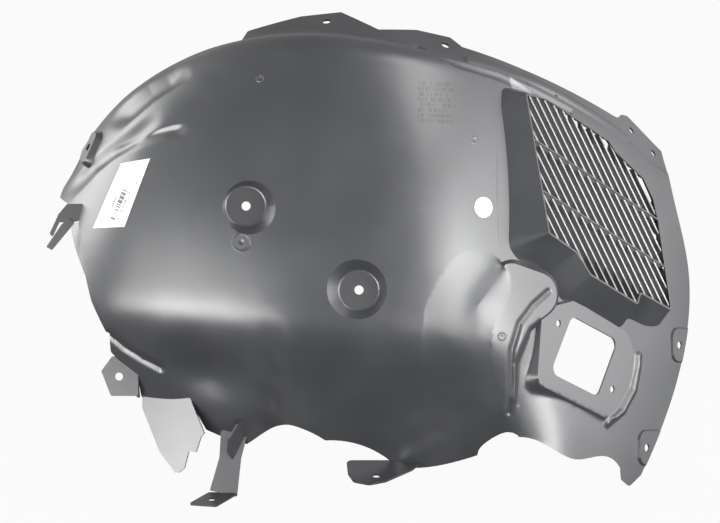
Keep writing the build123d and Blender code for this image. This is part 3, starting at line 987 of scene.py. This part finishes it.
@dataclass
class Studio:
    """Pale floor, white surround and soft boxes."""

    floor_drop: float = 0.001
    floor_size: float = 14.0
    floor_glow: float = 0.95
    floor_colour: Colour = (0.10, 0.10, 0.10, 1.0)
    floor_rough: float = 0.9
    ambient: float = 0.52
    sides: float = 1.1
    side_span: tuple[float, float] = (0.35, 0.95)
    boxes: tuple[SoftBox, ...] = (
        SoftBox("left_box", (-0.92, 0.35, -0.15), 1.7, (1.0, 1.0), 20.0),
        SoftBox("right_strip", (0.83, -0.14, 0.55), 1.7, (0.8, 1.0), 33.0),
        SoftBox("right_wall", (0.95, 0.05, 0.2), 1.7, (1.2, 1.2), 18.0),
        SoftBox("top_right_box", (0.60, 0.65, 0.47), 1.8, (0.9, 0.9), 14.0),
        SoftBox("low_left_box", (-0.60, -0.33, 0.73), 1.8, (1.2, 0.7), 55.0),
        SoftBox("low_right_box", (0.50, -0.32, 0.80), 1.8, (0.9, 0.5), 6.0),
    )

    def build(self, lowest: float) -> None:
        """Make the surround, the floor and the lights.

        Args:
            lowest: height of the object's lowest point in metres.
        """
        self.surround()
        self.floor(lowest - self.floor_drop)
        for box in self.boxes:
            box.build()

    def surround(self) -> None:
        """Light the scene softly, more from both sides, and show white behind it."""
        world = bpy.data.worlds.new("surround")
        bpy.context.scene.world = world
        world.use_nodes = True
        graph = Graph(world.node_tree)
        back = world.node_tree.nodes["Background"]
        back.inputs["Color"].default_value = (1.0, 1.0, 1.0, 1.0)
        towards = graph.node("ShaderNodeTexCoord").outputs["Generated"]
        aside = graph.math("ABSOLUTE", graph.dot(towards, AXES.turn(1, 0, 0)))
        light = graph.math("MULTIPLY_ADD", graph.band(aside, *self.side_span), self.sides, self.ambient)
        path = graph.node("ShaderNodeLightPath")
        seen = graph.math("MAXIMUM", path.outputs["Is Camera Ray"], path.outputs["Is Transmission Ray"])
        unseen = graph.math("MULTIPLY", graph.math("SUBTRACT", 1.0, seen), light)
        graph.feed(back.inputs["Strength"], graph.math("ADD", seen, unseen))

    def floor(self, height: float) -> None:
        """Lay the floor, which the camera sees nearly white with a faint shadow.

        Args:
            height: its height in metres.
        """
        mesh = bmesh.new()
        bmesh.ops.create_grid(mesh, x_segments=1, y_segments=1, size=self.floor_size / 2)
        bmesh.ops.translate(mesh, verts=mesh.verts, vec=(0, 0, height))
        data = bpy.data.meshes.new("floor")
        mesh.to_mesh(data)
        mesh.free()
        material, graph, shader = new_material("floor_paper")
        shader.inputs["Base Color"].default_value = self.floor_colour
        shader.inputs["Roughness"].default_value = self.floor_rough
        glow = graph.node("ShaderNodeEmission")
        path = graph.node("ShaderNodeLightPath")
        both = graph.node("ShaderNodeMixShader")
        graph.feed(both.inputs[0], graph.math("MULTIPLY", path.outputs["Is Camera Ray"], self.floor_glow))
        graph.feed(both.inputs[1], shader.outputs["BSDF"])
        graph.feed(both.inputs[2], glow.outputs["Emission"])
        output = next(node for node in graph.tree.nodes if node.type == "OUTPUT_MATERIAL")
        graph.feed(output.inputs["Surface"], both.outputs["Shader"])
        data.materials.append(material)
        floor = bpy.data.objects.new("floor", data)
        bpy.context.scene.collection.objects.link(floor)
        floor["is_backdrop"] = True


def cheek_reliefs() -> tuple[Relief, ...]:
    """List the fine reliefs of the cheek and its rear shoulder.

    Returns:
        The reliefs.
    """
    return (
        GateMark((-73.0, 7.0), 10.5),
        GateMark((-52.0, 205.0), 4.0, 1.5, 0.6),
        GateMark((210.0, 133.0), 4.0, 1.5, 0.6),
        GateMark((242.0, -107.0), 4.5, 1.5, 0.6),
        Bead(((-137, 145), (-168, 139), (-200, 130), (-240, 116)), 9.0, 3.0, Sense.IN, edge=3.0, fade=18.0),
        Bead(((-168, 166), (-212, 135), (-239, 119), (-265, 102), (-312, 62)), 13.0, 4.0, Sense.IN,
             direction=(-0.6, 0.4, 0.7), fade=45.0),
        Bead(((-136, 222), (-160, 211), (-190, 194), (-226, 166), (-246, 148)), 17.0, 8.0, Sense.IN,
             direction=(-0.5, 0.7, 0.5), fade=38.0),
        Bead(((-240, -106), (-221, -122), (-198, -136), (-177, -147)), 9.0, 4.0, Sense.IN, Profile.CREASE),
        Bead(((239, 160), (238, 84), (237, 10)), 1.3, 0.25, depths=(-70.0, 40.0), edge=1.3),
    )


def flange_reliefs() -> tuple[Relief, ...]:
    """List the fine reliefs of the lip, the flange and the access platform.

    Returns:
        The reliefs.
    """
    lip = (0.0, 0.6, 0.8)
    front = (0.67, 0.06, 0.74)
    return (
        Bead(((204, 236), (246, 228), (290, 215), (336, 196), (384, 173), (410, 159), (425, 149)),
             6.0, 3.0, direction=lip, depths=(-300.0, -80.0), edge=3.0),
        Bead(((140, 248), (159, 236), (201, 225), (245, 215), (290, 199), (340, 178)), 6.0, 2.5, Sense.IN,
             direction=lip, depths=(-300.0, -60.0), edge=3.0),
        Bead(((303, -54), (283, -70), (265, -92), (255, -125), (255, -166), (253, -203)),
             7.0, 3.5, Sense.IN, Profile.CREASE, edge=3.0),
        Bead(((434, -140), (432, -159), (426, -184), (409, -210), (387, -224)), 7.0, 4.0, direction=front,
             edge=3.0),
    )


def soft_zones() -> tuple[SoftZone, ...]:
    """List the zones where the pad and the platform run out softly into the skin.

    Returns:
        The zones.
    """
    pad_rear = ((210, -46), (190, -80), (185, -118), (190, -160), (202, -196), (226, -216))
    pad_front = ((252, -208), (258, -140), (272, -98), (300, -62))
    platform_low = ((284, -172), (340, -202), (392, -228))
    return (
        SoftZone(Bead(pad_rear, 44.0, 0.0, depths=(-200.0, 60.0), edge=6.0), 110),
        SoftZone(Bead(((204, -56), (230, -24)), 14.0, 0.0, depths=(-200.0, 60.0)), 30),
        SoftZone(Bead(pad_front, 10.0, 0.0, depths=(-250.0, 60.0), edge=3.0), 6),
        SoftZone(Bead(platform_low, 12.0, 0.0, depths=(-260.0, 60.0), edge=3.0), 10),
    )


def main() -> None:
    """Build the liner's visual model and its studio."""
    logging.basicConfig(level=logging.INFO, format="%(name)s: %(message)s")
    cad_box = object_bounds()
    plastic = MouldedPlastic().build()
    LinerSkin(reliefs=cheek_reliefs() + flange_reliefs(), zones=soft_zones()).build(plastic)
    Papers().dress(StockLabel().build(), RoundSticker().build())
    Studio().build(min(corner[2] for corner in cad_box))
    PhotoView().build()
    bpy.context.scene.view_settings.view_transform = "Standard"


if __name__ == "__main__":
    main()
